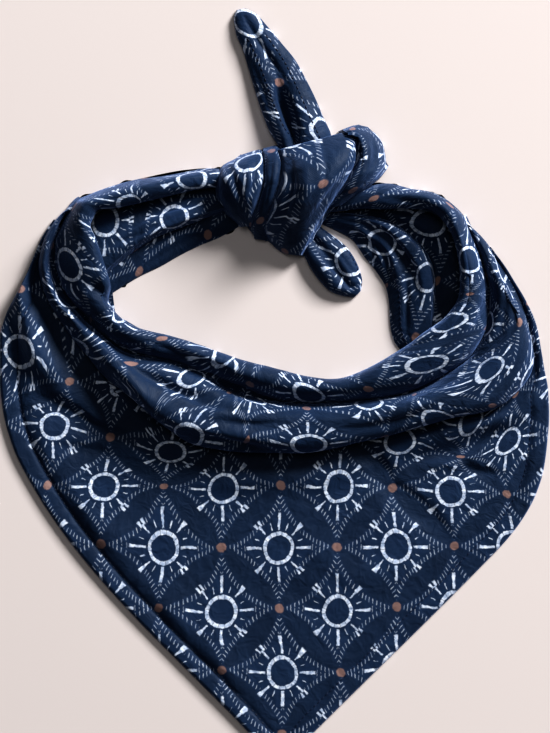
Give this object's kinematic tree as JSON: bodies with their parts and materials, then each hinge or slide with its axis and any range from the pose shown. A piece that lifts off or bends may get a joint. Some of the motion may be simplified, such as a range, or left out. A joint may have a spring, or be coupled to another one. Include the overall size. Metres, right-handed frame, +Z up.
{
  "type": "dog bandana",
  "caption": "Printed cotton dog bandana with a triangular bib, a gathered neck ring and a knot behind, laid flat on a table.",
  "frame": {"origin": "on the table, under the middle of the garment's outline", "axes": "+Z up from the table, +Y from the tip of the bib towards the knot, +X to the right seen from above with the knot away"},
  "size_m": [0.2746, 0.3771, 0.0319],
  "materials": {
    "printed_cotton": "matt navy cotton with a pale woven-in look of a hand print"
  },
  "bodies": {
    "root": {"bib": "printed_cotton", "neck_roll_outer": "printed_cotton", "neck_roll_outer_right": "printed_cotton", "neck_roll_inner": "printed_cotton", "neck_roll_inner_right": "printed_cotton", "left_band_top": "printed_cotton", "left_band_middle": "printed_cotton", "left_band_low": "printed_cotton", "right_band_top": "printed_cotton", "right_band_middle": "printed_cotton", "right_band_low": "printed_cotton", "knot_left": "printed_cotton", "knot_fold": "printed_cotton", "knot_wrap": "printed_cotton", "knot_loop": "printed_cotton", "knot_heart": "printed_cotton", "long_tail": "printed_cotton", "short_tail": "printed_cotton"}
  },
  "joints": []
}
